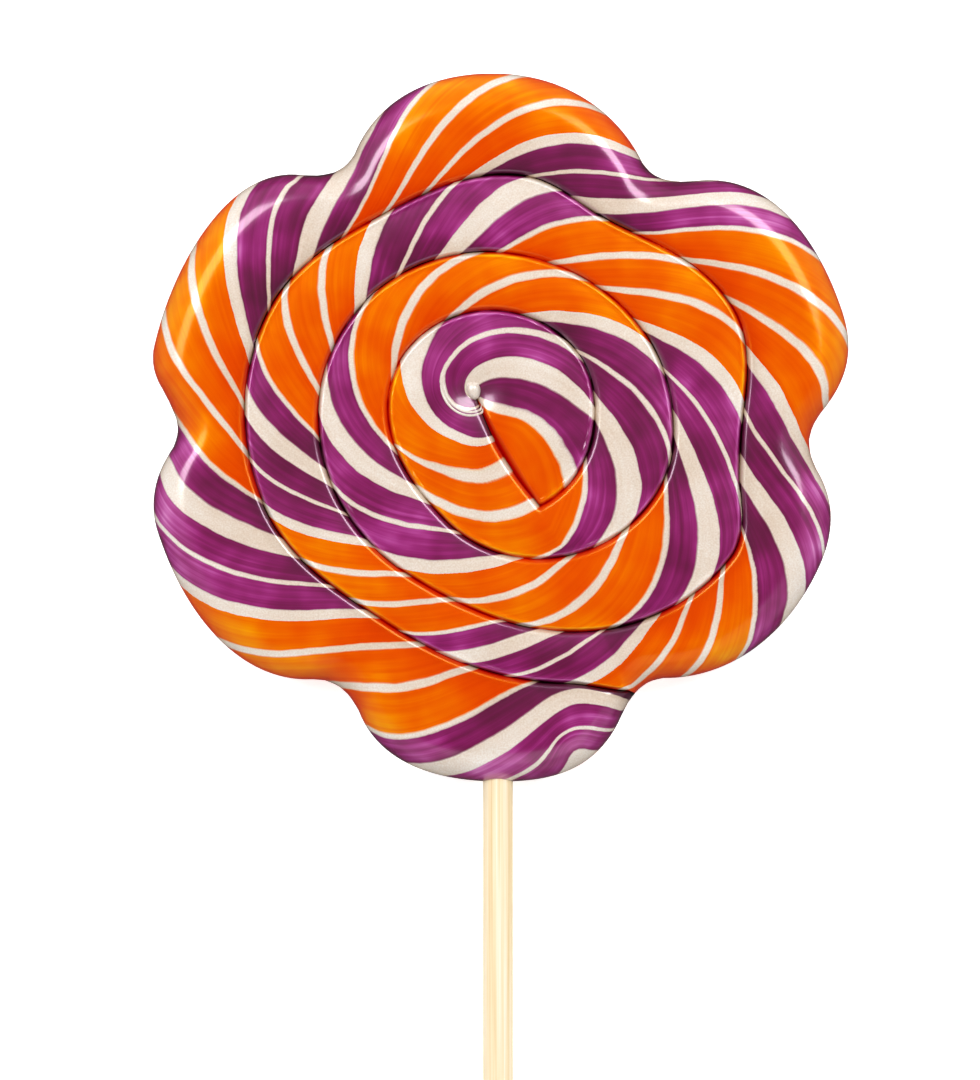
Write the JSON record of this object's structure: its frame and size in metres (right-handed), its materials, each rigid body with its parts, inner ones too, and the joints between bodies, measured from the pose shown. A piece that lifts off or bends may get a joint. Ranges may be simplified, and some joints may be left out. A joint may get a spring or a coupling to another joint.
{
  "type": "lollipop",
  "caption": "Swirl lollipop: a striped rope of boiled sugar coiled and pressed flat with a petalled rim, on a plain bamboo stick, lying on its flat back.",
  "frame": {"origin": "on the head's flat back, under the middle of the coil", "axes": "+Z out of the shown side, -Y along the stick from the head to its free end, +X to the right as the head is looked at"},
  "size_m": [0.0927, 0.2107, 0.0095],
  "materials": {
    "boiled_sugar": "glassy",
    "bamboo": "satin"
  },
  "bodies": {
    "root": {"candy": "boiled_sugar", "stick": "bamboo"}
  },
  "joints": []
}
